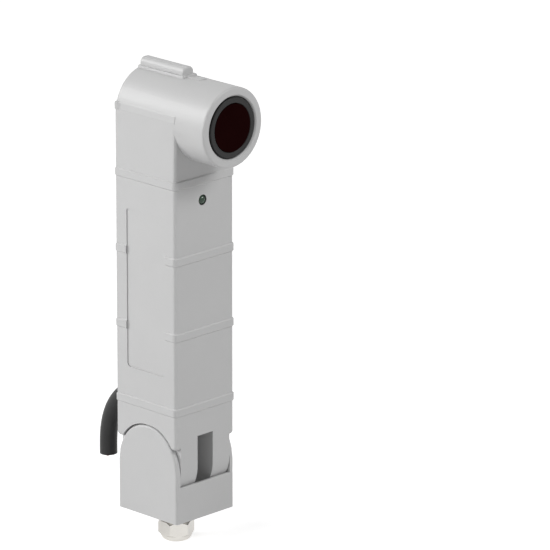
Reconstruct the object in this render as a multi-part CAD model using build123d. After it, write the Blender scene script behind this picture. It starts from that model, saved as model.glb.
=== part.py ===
from build123d import *
from math import cos, radians, sin, sqrt, tan
import os

# Upright sensor head on a tilting knuckle and fork-shaped base.
# Millimetres. Origin: centre of the base's underside.
# +Z up, the optics look along -Y, the tilt axis runs along X.

# Common clearances
slide_gap = 0.35
running_gap = 0.05
thread_gap = 0.02
seat_gap = 0.1

# Housing column
half_width = 22.3
half_depth = 22.7
corner_radius = 2.0
housing_wall = 2.6
skirt_rise = 11.9
skirt_edge_radius = 1.8
skirt_gap = 0.85
arch_wall = 2.75
slot_width = 11.8
slot_roof = 7.9
band_proud = 0.7
band_height = 5.0
band_chamfer = 0.62
band_pitch = 42.73
lowest_band_z = 64.05
band_count = 4
recess_depth = 0.5
recess_front_inset = 7.7
recess_rear_inset = 7.9
recess_bottom_z = 83.0
recess_top_z = 172.7
recess_top_radius = 1.0
recess_bottom_radius = 2.5
core_wall = 2.3
core_rise = 9.5
core_end_wall = 4.2

# Base bracket
base_inset = 0.3
base_floor = 7.4
cradle_gap = 0.4
cheek_thickness = 3.0
cheek_inset = 1.2
cheek_taper = 6.4
cheek_bend_radius = 60.0
cheek_edge_radius = 1.4
front_wall_drop = 10.0
wall_top_radius = 0.7

# Head and barrel
optical_axis_z = 225.1
barrel_length = 21.5
barrel_edge_radius = 1.2
head_band_rise = 1.7
head_band_height = 4.6
head_band_setback = 0.4
rail_width = 8.0
rail_height = 5.1
rail_length = 33.5
rail_round = 3.0
rail_end_round = 1.0
pad_width = 10.6
pad_height = 0.8
pad_lead = 1.0
pad_round = 0.7
strip_height = 0.35
strip_half_width = 2.2
strip_length = 44.8

# Front bore, window and ring
bore_wall = 4.95
bore_chamfer = 0.8
bore_depth = 7.7
ledge_thickness = 2.0
ledge_width = 2.85
ring_clearance = 0.1
ring_groove = 0.75
ring_groove_depth = 1.6
ring_setback = 0.05
ring_width = 3.95
ring_thickness = 3.2
ring_chamfer = 0.4
window_setback = 0.05
window_flange = 2.4
seal_width = 1.8

# Optics tube and receiver
tube_step = 1.85
tube_wall = 1.8
tube_flange_thickness = 2.0
tube_reach = 11.1
lens_shoulder_depth = 4.0
lens_edge_thickness = 2.2
lens_crown = 3.2
lens_retainer_thickness = 1.2
lens_retainer_width = 1.0
light_shaft_step = 4.0
optics_screw_radius = 1.0
optics_screw_length = 6.0
optics_screw_count = 3
board_thickness = 1.6
receiver_board_inset = 0.5
receiver_screw_radius = 0.8
receiver_screw_length = 5.0
photodiode_radius = 3.0
photodiode_height = 2.5

# Main board, its parts in rows from the terminal block upwards
board_standoff = 6.7
board_side_gap = 1.4
board_foot_gap = 10.4
board_head_drop = 35.1
board_boss_radius = 3.0
board_boss_side = 4.1
board_boss_inset = 5.0
board_screw_radius = 1.25
board_screw_length = 7.0
row_gap = 6.0
relay_width = 10.0
relay_depth = 10.0
relay_height = 15.0
relay_corner = 0.8
relay_pitch = 16.0
capacitor_radius = 4.0
capacitor_height = 9.0
capacitor_chamfer = 0.5
capacitor_pitch = 11.0
chip_side = 9.0
chip_thickness = 1.4
chip_count = 3

# Indicator lamp
led_x = -1.5
led_drop = 44.2
led_radius = 2.6
led_flange_radius = 3.4
led_flange_thickness = 1.0
led_crown = 0.6
led_proud = 0.2
led_hole_radius = 3.0

# Terminal block and core wires
terminal_count = 5
terminal_pitch = 5.0
terminal_end_wall = 0.2
terminal_depth = 10.0
terminal_height = 12.0
terminal_chamfer = 1.0
terminal_entry = 2.8
terminal_entry_depth = 6.0
terminal_entry_setback = 5.0
terminal_screw_radius = 1.5
terminal_screw_length = 4.5
terminal_slot_width = 0.6
wire_radius = 0.65
wire_pitch_at_grommet = 1.7
wire_straight = 5.0
wire_bend = 2.5
wire_insertion = 4.0

# Ribbon between the boards
ribbon_half_width = 5.0
ribbon_thickness = 0.6
ribbon_bend = 1.5
ribbon_bow = 4.9
connector_height = 3.0
connector_depth = 2.2
connector_half_width = 6.0
connector_edge_inset = 1.0

# Rear cover
cover_rim = 1.2
cover_thickness = 2.3
cover_foot = 1.4
gasket_thickness = 0.8
cover_boss_radius = 3.4
cover_boss_length = 11.0
cover_boss_side = 2.8
cover_boss_foot = 3.1
cover_boss_head_angle = 45.0
cover_screw_radius = 1.5
cover_screw_head_radius = 2.9
cover_screw_length = 9.0
cover_screw_socket = 2.0

# Cable tail: corners of its route as (distance behind the housing, drop below the outlet)
cable_radius = 4.9
cable_exit_rise = 5.3
cable_corners = [
    (1.0, 0.0),
    (6.5, 0.0),
    (11.9, 1.4),
    (16.8, 4.1),
    (21.5, 8.2),
    (26.4, 15.2),
    (29.4, 23.3),
    (30.8, 33.3),
    (30.6, 42.7),
]
arc_share = 0.45
grommet_neck_radius = 5.6
grommet_flange_radius = 6.6
grommet_inner_thickness = 2.0
grommet_bevel = 0.6
grommet_nose = 0.5
grommet_nose_slope = 1.0

# Floor grommet between the slot and the housing
floor_hole_radius = 4.4
floor_grommet_flange = 1.6
floor_grommet_lip = 1.2
floor_grommet_bevel = 0.5
floor_grommet_dimple = 3.0
floor_grommet_skin = 1.0

# Tilt pivot
pivot_screw_radius = 2.0
pivot_head_radius = 4.0
pivot_socket_flats = 2.5
bush_wall = 1.5
washer_radius = 8.0
washer_thickness = 0.8
nut_side = 7.0
nut_thickness = 2.2
nut_skin = 0.7
nut_pocket_gap = 1.0

# Cable gland under the base
gland_thread_radius = 7.5
gland_thread_up = 6.6
gland_thread_down = 4.9
gland_wall = 1.9
gland_flats = 17.5
gland_flat_angle = 54.4
gland_corner_chamfer = 1.1
gland_collar_height = 6.6
gland_nut_gap = 0.7
gland_hex_height = 7.8
gland_dome_height = 2.9
gland_dome_step = 0.1
gland_dome_bulge = 0.3
gland_dome_radius = 7.3
gland_outlet_radius = 4.6
gland_seat_depth = 1.0
gland_claw_wall = 1.0
gland_claw_slit = 0.8
gland_claw_foot = 0.6
gland_claw_lip = 0.3
gland_seal_top = 5.0
gland_seal_bore = 3.2
gland_o_ring_section = 1.2
gland_o_ring_width = 1.6
gland_land = 0.8

# Threaded mounting inserts
mount_spacing = 28.0
insert_outer_radius = 2.8
insert_thread_radius = 1.65
insert_length = 8.0
insert_flush_gap = 0.2

# Hexagon sockets and screw heads
socket_share = 0.6
pan_head_share = 1.9
pan_height_share = 1.2

# Values worked out from the sizes above
base_half_width = half_width - base_inset
knuckle_radius = half_depth
cradle_radius = knuckle_radius + cradle_gap
pivot_z = base_floor + cradle_radius
cheek_radius = half_depth - cheek_inset
skirt_arc_radius = cheek_radius + skirt_gap
skirt_bottom_z = pivot_z + skirt_rise
front_wall_top_z = pivot_z - front_wall_drop
cavity_floor_z = pivot_z + skirt_arc_radius + arch_wall
slot_top_z = cavity_floor_z - slot_roof
core_floor_z = pivot_z + core_rise
cheek_inner_x = base_half_width - cheek_thickness
tongue_outer_x = cheek_inner_x - slide_gap
slot_half = slot_width / 2
barrel_radius = half_width
barrel_front_y = -half_depth - barrel_length
crown_z = optical_axis_z + barrel_radius
cavity_half_width = half_width - housing_wall
cavity_front_y = -half_depth + housing_wall
bore_radius = half_width - bore_wall
ledge_front_y = barrel_front_y + bore_depth
ledge_rear_y = ledge_front_y + ledge_thickness
ledge_opening_radius = bore_radius - ledge_width
ring_outer_radius = bore_radius - ring_clearance
ring_opening_radius = bore_radius - ring_width
ring_front_y = barrel_front_y + ring_setback
ring_rear_y = ring_front_y + ring_thickness
cover_pocket_half = half_width - cover_rim
cover_front_y = half_depth - cover_thickness
cavity_rear_y = cover_front_y - gasket_thickness
cover_pocket_foot_z = cavity_floor_z - cover_foot
cover_boss_x = cavity_half_width - cover_boss_side
tube_bore_radius = bore_radius - tube_step
tube_outer_radius = tube_bore_radius - seat_gap
tube_flange_radius = cavity_half_width - 2 * seat_gap
tube_rear_y = cavity_front_y + tube_reach
light_shaft_radius = tube_bore_radius - light_shaft_step
optics_screw_circle = (tube_outer_radius + tube_flange_radius) / 2
receiver_screw_circle = (light_shaft_radius + tube_outer_radius) / 2
receiver_board_radius = tube_bore_radius - receiver_board_inset
receiver_board_rear_y = tube_rear_y + board_thickness
main_board_half_width = cavity_half_width - board_side_gap
main_board_bottom_z = cavity_floor_z + board_foot_gap
main_board_top_z = optical_axis_z - board_head_drop
main_board_y = cavity_front_y + board_standoff
main_board_rear_y = main_board_y + board_thickness
board_boss_x = cavity_half_width - board_boss_side
terminal_bottom_z = main_board_bottom_z + 2 * board_boss_inset
terminal_top_z = terminal_bottom_z + terminal_height
terminal_screw_z = terminal_top_z - terminal_height / 3
relay_z = terminal_top_z + row_gap + relay_height / 2
capacitor_z = relay_z + relay_height / 2 + row_gap + capacitor_radius
chip_z = capacitor_z + capacitor_radius + row_gap + chip_side / 2
chip_pitch = chip_side + row_gap
led_z = optical_axis_z - led_drop
cable_exit_z = cavity_floor_z + cable_exit_rise
cable_route = [(0.0, half_depth + reach, cable_exit_z - drop) for reach, drop in cable_corners]
bush_outer_radius = pivot_screw_radius + running_gap + bush_wall
washer_pocket_x = cheek_inner_x - washer_thickness - seat_gap
gland_bore_radius = gland_thread_radius - gland_wall
gland_nut_top_z = -gland_collar_height - gland_nut_gap
gland_dome_z = gland_nut_top_z - gland_hex_height
gland_end_z = gland_dome_z - gland_dome_height
gland_thread_foot_z = -gland_collar_height - gland_thread_down
gland_seat_z = gland_thread_foot_z - gland_seat_depth


def block(x_from, x_to, y_from, y_to, z_from, z_to):
    """Box between two opposite corners."""
    centre = Pos((x_from + x_to) / 2, (y_from + y_to) / 2, (z_from + z_to) / 2)
    return centre * Box(x_to - x_from, y_to - y_from, z_to - z_from)


def rod_x(radius, x_from, x_to, y=0.0, z=0.0):
    """Round bar along X."""
    return Pos((x_from + x_to) / 2, y, z) * Rot(0, 90, 0) * Cylinder(radius, x_to - x_from)


def rod_y(radius, y_from, y_to, x=0.0, z=0.0):
    """Round bar along Y."""
    return Pos(x, (y_from + y_to) / 2, z) * Rot(90, 0, 0) * Cylinder(radius, y_to - y_from)


def rod_z(radius, z_from, z_to, x=0.0, y=0.0):
    """Round bar along Z."""
    return Pos(x, y, (z_from + z_to) / 2) * Cylinder(radius, z_to - z_from)


def turned_on_optical_axis(*points):
    """Turned piece from (radius, y) points, about the optical axis."""
    profile = make_face(Polyline(*points, close=True))
    return Pos(0, 0, optical_axis_z) * revolve(profile, axis=Axis.Y)


def turned_on_z(*points):
    """Turned piece from (radius, z) points, about the vertical axis."""
    profile = make_face(Plane.XZ * Polyline(*points, close=True))
    return revolve(profile, axis=Axis.Z)


def domed_turning(rim_radius, rim_y, tip_y, foot_radius, shoulder_y, foot_y):
    """Turned piece about Y: a shallow dome on a rim, over a wider foot."""
    crown = rim_y - tip_y
    sphere = (rim_radius**2 + crown**2) / (2 * crown)
    middle = rim_radius / 2
    middle_y = tip_y + sphere - sqrt(sphere**2 - middle**2)
    corners = [(0, tip_y), (0, foot_y), (foot_radius, foot_y), (foot_radius, shoulder_y)]
    if shoulder_y > rim_y:
        corners.append((rim_radius, shoulder_y))
    edge = Polyline(*corners, (rim_radius, rim_y))
    edge += ThreePointArc((rim_radius, rim_y), (middle, middle_y), (0, tip_y))
    return revolve(make_face(edge), axis=Axis.Y)


def column(half_x, front_y, rear_y, corner, z_from, z_to):
    """Upright prism with rounded front corners and crisp rear ones."""
    outline = make_face(
        Polyline((-half_x, front_y), (half_x, front_y), (half_x, rear_y), (-half_x, rear_y), close=True)
    )
    front_corners = outline.vertices().sort_by(Axis.Y)[:2]
    return extrude(Pos(0, 0, z_from) * fillet(front_corners, corner), z_to - z_from)


def tombstone(half_x, foot_z, y_from, y_to):
    """Upright slab with a straight foot and a round top about the optical axis."""
    shoulder_left = (-half_x, optical_axis_z)
    shoulder_right = (half_x, optical_axis_z)
    crown = (0, optical_axis_z + half_x)
    edge = Polyline(shoulder_left, (-half_x, foot_z), (half_x, foot_z), shoulder_right)
    edge += ThreePointArc(shoulder_right, crown, shoulder_left)
    face = make_face(Plane.XZ.offset(-y_to) * edge)
    return extrude(face, y_to - y_from)


def countersunk_screw(radius, head_radius, length, socket_flats):
    """Countersunk screw along -Z with its flat head at z = 0 and a hexagon socket."""
    cone = head_radius - radius
    body = turned_on_z((0, 0), (head_radius, 0), (radius, -cone), (radius, -length), (0, -length))
    socket = extrude(RegularPolygon(socket_flats / 2, 6, major_radius=False), -cone * socket_share)
    return body - socket


def pan_screw(radius, length):
    """Pan-head screw along -Z with the underside of its head at z = 0 and a slot."""
    head_radius = pan_head_share * radius
    head_height = pan_height_share * radius
    body = rod_z(head_radius, 0, head_height) + rod_z(radius, -length, 0)
    slot = block(-head_radius, head_radius, -radius / 4, radius / 4, head_height / 2, head_height)
    return body - slot


def facing_rear(x, y, z):
    """Place for a piece drawn along -Z that is driven in from the rear, along -Y."""
    return Pos(x, y, z) * Rot(-90, 0, 0)


def cover_boss_places():
    """Centres (x, z) of the six rear cover screws."""
    foot_z = cavity_floor_z + cover_boss_foot
    head_reach = cover_boss_x * cos(radians(cover_boss_head_angle))
    head_z = optical_axis_z + cover_boss_x * sin(radians(cover_boss_head_angle))
    middle_z = (foot_z + optical_axis_z) / 2
    rows = [(cover_boss_x, foot_z), (cover_boss_x, middle_z), (head_reach, head_z)]
    return [(side * x, z) for x, z in rows for side in (-1, 1)]


def board_boss_places():
    """Centres (x, z) of the four main board screws."""
    low = main_board_bottom_z + board_boss_inset
    high = main_board_top_z - board_boss_inset
    return [(side * board_boss_x, z) for z in (low, high) for side in (-1, 1)]


def optics_screw_places():
    """Centres (x, z) of the screws through the flange of the optics tube."""
    places = []
    for index in range(optics_screw_count):
        angle = radians(90 + 360 * index / optics_screw_count)
        places.append((optics_screw_circle * cos(angle), optical_axis_z + optics_screw_circle * sin(angle)))
    return places


def mount_places():
    """Centres (x, y) of the four threaded mounting inserts."""
    reach = mount_spacing / 2
    return [(x, y) for x in (-reach, reach) for y in (-reach, reach)]


def fork_blank():
    """Solid base block with a round top, slightly tapered sides and rounded outer rims."""
    slope = radians(cheek_taper)
    shoulder_y = cheek_radius * cos(slope)
    shoulder_z = pivot_z + cheek_radius * sin(slope)
    bend_z = pivot_z - (half_depth * cos(slope) - cheek_radius) / sin(slope)
    crown = (0, pivot_z + cheek_radius)
    edge = Polyline((shoulder_y, shoulder_z), (half_depth, bend_z), (half_depth, 0), (-half_depth, 0))
    edge += Polyline((-half_depth, 0), (-half_depth, bend_z), (-shoulder_y, shoulder_z))
    edge += ThreePointArc((-shoulder_y, shoulder_z), crown, (shoulder_y, shoulder_z))
    outline = make_face(edge)
    outline = fillet(outline.vertices().group_by(Axis.Y)[1], cheek_bend_radius)
    blank = extrude(Plane.YZ * outline, base_half_width, both=True)
    rims = [rim for side in blank.faces().filter_by(Axis.X) for rim in side.edges().sort_by(Axis.Z)[1:]]
    return fillet(rims, cheek_edge_radius)


def trough_space():
    """Room between the cheeks, above the floor and the two low walls with their rounded tops."""
    walls = Pos(0, front_wall_top_z / 2) * Rectangle(2 * half_depth, front_wall_top_z)
    walls -= Pos(0, pivot_z) * Circle(cradle_radius)
    walls = fillet(walls.vertices().group_by(Axis.Y)[-1], wall_top_radius)
    around = Pos(0, pivot_z) * Rectangle(2 * half_depth + 2, 2 * cradle_radius + 2)
    return extrude(Plane.YZ * (around - walls), cheek_inner_x, both=True)


def base_bracket():
    """One-piece fork: floor, low front and rear wall, and two cheeks round the knuckle."""
    bracket = fork_blank() - trough_space()
    bracket -= rod_z(gland_thread_radius + thread_gap, -1, front_wall_top_z)
    bracket -= rod_z(gland_thread_radius + gland_land + gland_o_ring_width, -1, gland_o_ring_section)
    for x, y in mount_places():
        bracket -= rod_z(insert_outer_radius, -1, insert_length + insert_flush_gap, x, y)
    nut_pocket = nut_side / 2 + seat_gap
    nut_outer_x = -base_half_width + nut_skin
    bracket -= block(
        nut_outer_x, -cheek_inner_x + nut_pocket_gap, -nut_pocket, nut_pocket,
        pivot_z - nut_pocket, pivot_z + nut_pocket,
    )
    screw_hole = pivot_screw_radius + running_gap
    bracket -= rod_x(screw_hole, 0, base_half_width + 1, z=pivot_z)
    head_sink = pivot_head_radius + seat_gap
    sink_foot = screw_hole - head_sink
    sink = turned_on_z((0, 1), (head_sink, 1), (head_sink, 0), (screw_hole, sink_foot), (0, sink_foot))
    bracket -= Pos(base_half_width, 0, pivot_z) * Rot(0, 90, 0) * sink
    return bracket


def knuckle():
    """Drum and neck that carry the housing between the cheeks, cored from inside."""
    drum = rod_x(knuckle_radius, -tongue_outer_x, tongue_outer_x, z=pivot_z)
    neck = block(-tongue_outer_x, tongue_outer_x, -half_depth, half_depth, pivot_z, cavity_floor_z)
    return drum + neck


def skirt():
    """Foot of the column, arched over the cheeks and rounded at its toes."""
    foot = column(half_width, -half_depth, half_depth, corner_radius, skirt_bottom_z, cavity_floor_z)
    foot = fillet(foot.faces().sort_by(Axis.Z)[0].edges(), skirt_edge_radius)
    for side in (-1, 1):
        near = min(side * tongue_outer_x, side * (half_width + 1))
        far = max(side * tongue_outer_x, side * (half_width + 1))
        foot -= rod_x(skirt_arc_radius, near, far, z=pivot_z)
    return foot


def bands():
    """Raised bands round the front and sides of the column."""
    rings = []
    for index in range(band_count):
        bottom = lowest_band_z + index * band_pitch - band_height / 2
        ring = column(
            half_width + band_proud,
            -half_depth - band_proud,
            half_depth,
            corner_radius + band_proud,
            bottom,
            bottom + band_height,
        )
        rims = ring.edges().filter_by(Axis.Z, reverse=True)
        rings.append(chamfer(rims, band_chamfer))
    return rings


def head_band():
    """Short band at the sides of the head, ended behind the barrel."""
    reach = half_width + band_proud
    bottom = optical_axis_z + head_band_rise
    front = -half_depth + head_band_setback
    band = block(-reach, reach, front, half_depth, bottom, bottom + head_band_height)
    rims = band.edges().filter_by(Axis.Y)
    return chamfer(rims, band_chamfer)


def barrel():
    """Horizontal barrel of the head with a rounded front rim."""
    tube = rod_y(barrel_radius, barrel_front_y, half_depth, z=optical_axis_z)
    rim = tube.edges().filter_by(GeomType.CIRCLE).sort_by(Axis.Y)[0]
    return fillet(rim, barrel_edge_radius)


def top_rail():
    """Rounded sighting rail on a thin pad, with a low strip leading to it along the crown of the head."""
    half_rail = rail_width / 2
    strip_front = half_depth - strip_length
    strip_top = crown_z + strip_height
    strip = block(-strip_half_width, strip_half_width, strip_front, half_depth, optical_axis_z, strip_top)
    pad_z = crown_z + pad_height
    pad_front = half_depth - rail_length - pad_lead
    pad = block(-pad_width / 2, pad_width / 2, pad_front, half_depth, optical_axis_z, pad_z)
    pad = fillet(pad.faces().sort_by(Axis.Z)[-1].edges().sort_by(Axis.Y)[:-1], pad_round)
    bar_front = half_depth - rail_length
    bar = block(-half_rail, half_rail, bar_front, half_depth, optical_axis_z, crown_z + rail_height)
    bar = fillet(bar.edges().filter_by(Axis.Y).group_by(Axis.Z)[-1], rail_round)
    ends = bar.faces().filter_by(Axis.Y)
    upper = [edge for face in ends for edge in face.edges() if edge.center().Z > pad_z]
    bar = fillet(upper, rail_end_round)
    return strip + pad + bar


def side_recess():
    """Shallow panel sunk into the left side, through the two middle bands."""
    front = -half_depth + recess_front_inset
    rear = half_depth - recess_rear_inset
    corners = [(front, recess_bottom_z), (rear, recess_bottom_z), (rear, recess_top_z), (front, recess_top_z)]
    outline = make_face(Polyline(*corners, close=True))
    outline = fillet(outline.vertices().group_by(Axis.Y)[0], recess_bottom_radius)
    outline = fillet(outline.vertices().group_by(Axis.Y)[-1], recess_top_radius)
    floor_x = -half_width + recess_depth
    return extrude(Plane.YZ.offset(floor_x) * outline, -recess_depth - 2 * band_proud)


def front_bore():
    """Stepped bore through the barrel: ring and window seat, ledge, then the tube's bore."""
    mouth = bore_radius + bore_chamfer
    return turned_on_optical_axis(
        (0, barrel_front_y - 1),
        (mouth + 1, barrel_front_y - 1),
        (bore_radius, barrel_front_y + bore_chamfer),
        (bore_radius, ledge_front_y),
        (ledge_opening_radius, ledge_front_y),
        (ledge_opening_radius, ledge_rear_y),
        (tube_bore_radius, ledge_rear_y),
        (tube_bore_radius, cavity_front_y + 1),
        (0, cavity_front_y + 1),
    )


def main_housing():
    """One-piece moulding: column, head, barrel, bands, recess and knuckle tongues, hollow from the rear."""
    shell = column(half_width, -half_depth, half_depth, corner_radius, cavity_floor_z, optical_axis_z)
    shell += [skirt(), knuckle(), barrel(), head_band(), top_rail()]
    shell += bands()
    shell -= block(-slot_half, slot_half, -half_depth - 1, half_depth + 1, 0, slot_top_z)
    shell -= tombstone(cavity_half_width, cavity_floor_z, cavity_front_y, cavity_rear_y)
    shell -= tombstone(cavity_half_width, cavity_floor_z, cavity_rear_y - 1, cover_front_y)
    shell -= tombstone(cover_pocket_half, cover_pocket_foot_z, cavity_rear_y, half_depth + 1)
    shell -= front_bore()
    shell -= side_recess()
    core_outer_x = tongue_outer_x - core_wall
    core_inner_x = slot_half + core_wall
    core_end = half_depth - core_end_wall
    for side in (-1, 1):
        near = min(side * core_inner_x, side * core_outer_x)
        far = max(side * core_inner_x, side * core_outer_x)
        shell -= block(near, far, -core_end, core_end, core_floor_z, cavity_floor_z + 1)
    shell -= rod_y(led_hole_radius, -half_depth - 2, cavity_front_y + 1, led_x, led_z)
    shell -= rod_z(floor_hole_radius, slot_top_z - 1, cavity_floor_z + 1)
    cover_boss_foot_y = cover_front_y - cover_boss_length
    for x, z in cover_boss_places():
        shell += rod_y(cover_boss_radius, cover_boss_foot_y, cover_front_y, x, z) & cavity_space()
    shell += [rod_y(board_boss_radius, cavity_front_y, main_board_y, x, z) for x, z in board_boss_places()]
    cover_thread = cover_screw_radius + thread_gap
    for x, z in cover_boss_places():
        shell -= rod_y(cover_thread, cover_front_y - cover_screw_length, half_depth, x, z)
    board_thread = board_screw_radius + thread_gap
    for x, z in board_boss_places():
        shell -= rod_y(board_thread, main_board_y - board_screw_length, main_board_y, x, z)
    optics_thread = optics_screw_radius + thread_gap
    for x, z in optics_screw_places():
        shell -= rod_y(optics_thread, cavity_front_y - optics_screw_length, cavity_front_y, x, z)
    shell -= rod_x(bush_outer_radius + thread_gap, -half_width, half_width, z=pivot_z)
    for side in (-1, 1):
        near = min(side * washer_pocket_x, side * half_width)
        far = max(side * washer_pocket_x, side * half_width)
        shell -= rod_x(washer_radius + seat_gap, near, far, z=pivot_z)
    return shell


def cavity_space():
    """Room inside the housing up to the rear cover."""
    return tombstone(half_width - cover_rim / 2, cover_pocket_foot_z, cavity_front_y, cover_front_y)


def rear_cover():
    """Flat cover set into the rear of the housing, with screw sinks and the cable outlet."""
    plate = tombstone(
        cover_pocket_half - seat_gap, cover_pocket_foot_z + seat_gap, cover_front_y, half_depth
    )
    plate -= rod_y(grommet_neck_radius + seat_gap, cover_front_y - 1, half_depth + 1, z=cable_exit_z)
    clear = cover_screw_radius + seat_gap
    sunk = cover_screw_head_radius + seat_gap
    through = -cover_thickness - 1
    sink = turned_on_z((0, 1), (sunk, 1), (sunk, 0), (clear, clear - sunk), (clear, through), (0, through))
    for x, z in cover_boss_places():
        plate -= facing_rear(x, half_depth, z) * sink
    return plate


def cover_gasket():
    """Flat gasket on the ledge round the rear opening."""
    outer = tombstone(
        cover_pocket_half - seat_gap, cover_pocket_foot_z + seat_gap, cavity_rear_y, cover_front_y
    )
    inner = tombstone(cavity_half_width, cavity_floor_z, cavity_rear_y - 1, cover_front_y + 1)
    gasket = outer - inner
    for x, z in cover_boss_places():
        gasket -= rod_y(cover_boss_radius + seat_gap, cavity_rear_y - 1, cover_front_y + 1, x, z)
    return gasket


def cover_screws():
    """Six countersunk screws of the rear cover."""
    screw = countersunk_screw(
        cover_screw_radius, cover_screw_head_radius, cover_screw_length, cover_screw_socket
    )
    return [facing_rear(x, half_depth, z) * screw for x, z in cover_boss_places()]


def retaining_ring():
    """Black threaded ring that holds the window in the barrel, with a groove round its front rim."""
    shoulder_y = ring_front_y + ring_chamfer
    groove_y = ring_front_y + ring_groove_depth
    rim_radius = bore_radius - ring_groove
    return turned_on_optical_axis(
        (ring_opening_radius + ring_chamfer, ring_front_y),
        (rim_radius - ring_chamfer, ring_front_y),
        (rim_radius, shoulder_y),
        (rim_radius, groove_y),
        (ring_outer_radius, groove_y),
        (ring_outer_radius, ring_rear_y),
        (ring_opening_radius, ring_rear_y),
        (ring_opening_radius, shoulder_y),
    )


def lens_window():
    """Filter window: a disc with a flange behind the ring."""
    face_y = ring_front_y + window_setback
    flange_rear = ring_rear_y + window_flange
    boss = ring_opening_radius - seat_gap
    return turned_on_optical_axis(
        (0, face_y),
        (boss, face_y),
        (boss, ring_rear_y),
        (ring_outer_radius, ring_rear_y),
        (ring_outer_radius, flange_rear),
        (0, flange_rear),
    )


def window_seal():
    """Rubber ring between the window's flange and the ledge."""
    front = ring_rear_y + window_flange
    outer = ring_outer_radius
    inner = outer - seal_width
    rear = ledge_front_y
    return turned_on_optical_axis((inner, front), (outer, front), (outer, rear), (inner, rear))


def optics_tube():
    """Flanged tube with the lens seat in front and the light shaft behind."""
    lens_bore = tube_outer_radius - tube_wall
    shoulder_y = ledge_rear_y + lens_shoulder_depth
    flange_rear = cavity_front_y + tube_flange_thickness
    tube = turned_on_optical_axis(
        (lens_bore, ledge_rear_y),
        (tube_outer_radius, ledge_rear_y),
        (tube_outer_radius, cavity_front_y),
        (tube_flange_radius, cavity_front_y),
        (tube_flange_radius, flange_rear),
        (tube_outer_radius, flange_rear),
        (tube_outer_radius, tube_rear_y),
        (light_shaft_radius, tube_rear_y),
        (light_shaft_radius, shoulder_y),
        (lens_bore, shoulder_y),
    )
    for x, z in optics_screw_places():
        tube -= rod_y(optics_screw_radius + seat_gap, cavity_front_y - 1, flange_rear + 1, x, z)
    for side in (-1, 1):
        tube -= rod_y(
            receiver_screw_radius + thread_gap,
            tube_rear_y - receiver_screw_length,
            tube_rear_y,
            side * receiver_screw_circle,
            optical_axis_z,
        )
    return tube


def collimator_lens():
    """Plano-convex lens, its flat side on the tube's shoulder."""
    radius = tube_outer_radius - tube_wall - seat_gap
    flat_y = ledge_rear_y + lens_shoulder_depth
    edge_y = flat_y - lens_edge_thickness
    crown_y = edge_y - lens_crown
    rim = radius - lens_retainer_width
    return Pos(0, 0, optical_axis_z) * domed_turning(rim, edge_y, crown_y, radius, edge_y, flat_y)


def lens_retainer():
    """Snap ring in front of the lens."""
    outer = tube_outer_radius - tube_wall - thread_gap
    rear = ledge_rear_y + lens_shoulder_depth - lens_edge_thickness
    front = rear - lens_retainer_thickness
    inner = outer - lens_retainer_width
    return turned_on_optical_axis((inner, front), (outer, front), (outer, rear), (inner, rear))


def optics_screws():
    """Screws through the tube's flange into the head."""
    screw = pan_screw(optics_screw_radius, optics_screw_length)
    seat_y = cavity_front_y + tube_flange_thickness
    return [facing_rear(x, seat_y, z) * screw for x, z in optics_screw_places()]


def receiver_board():
    """Round board on the rear end of the optics tube."""
    board = rod_y(receiver_board_radius, tube_rear_y, receiver_board_rear_y, z=optical_axis_z)
    for side in (-1, 1):
        board -= rod_y(
            receiver_screw_radius + seat_gap,
            tube_rear_y - 1,
            receiver_board_rear_y + 1,
            side * receiver_screw_circle,
            optical_axis_z,
        )
    return board


def receiver_screws():
    """Two screws of the round board."""
    screw = pan_screw(receiver_screw_radius, receiver_screw_length)
    seat_y = receiver_board_rear_y
    return [facing_rear(side * receiver_screw_circle, seat_y, optical_axis_z) * screw for side in (-1, 1)]


def photodiode():
    """Receiver chip with a domed front, soldered to the round board."""
    front = tube_rear_y - photodiode_height
    body = rod_y(photodiode_radius, front, tube_rear_y, z=optical_axis_z)
    rim = body.edges().filter_by(GeomType.CIRCLE).sort_by(Axis.Y)[0]
    return fillet(rim, photodiode_radius / 3)


def main_board():
    """Main circuit board on its four bosses behind the front wall."""
    board = block(
        -main_board_half_width,
        main_board_half_width,
        main_board_y,
        main_board_rear_y,
        main_board_bottom_z,
        main_board_top_z,
    )
    for x, z in board_boss_places():
        board -= rod_y(board_screw_radius + seat_gap, main_board_y - 1, main_board_rear_y + 1, x, z)
    return board


def board_screws():
    """Four screws of the main board."""
    screw = pan_screw(board_screw_radius, board_screw_length)
    return [facing_rear(x, main_board_rear_y, z) * screw for x, z in board_boss_places()]


def indicator_led():
    """Green lamp on the front of the main board, its shallow dome just proud of the front wall."""
    rim_y = -half_depth - led_proud
    tip_y = rim_y - led_crown
    flange_y = main_board_y - led_flange_thickness
    foot_y = main_board_y
    lamp = domed_turning(led_radius, rim_y, tip_y, led_flange_radius, flange_y, foot_y)
    return Pos(led_x, 0, led_z) * lamp


def output_relays():
    """Two safety output relays."""
    half = relay_width / 2
    rear = main_board_rear_y + relay_depth
    can = block(-half, half, main_board_rear_y, rear, -relay_height / 2, relay_height / 2)
    can = fillet(can.edges().filter_by(Axis.Y), relay_corner)
    return [Pos(side * relay_pitch / 2, 0, relay_z) * can for side in (-1, 1)]


def board_capacitors():
    """Three round capacitors."""
    far = main_board_rear_y + capacitor_height
    can = rod_y(capacitor_radius, main_board_rear_y, far)
    can = chamfer(can.edges().filter_by(GeomType.CIRCLE).sort_by(Axis.Y)[-1], capacitor_chamfer)
    return [Pos(step * capacitor_pitch, 0, capacitor_z) * can for step in (-1, 0, 1)]


def board_chips():
    """Row of flat chip packages."""
    half = chip_side / 2
    package = block(-half, half, main_board_rear_y, main_board_rear_y + chip_thickness, -half, half)
    return [Pos(0, 0, chip_z + index * chip_pitch) * package for index in range(chip_count)]


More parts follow.
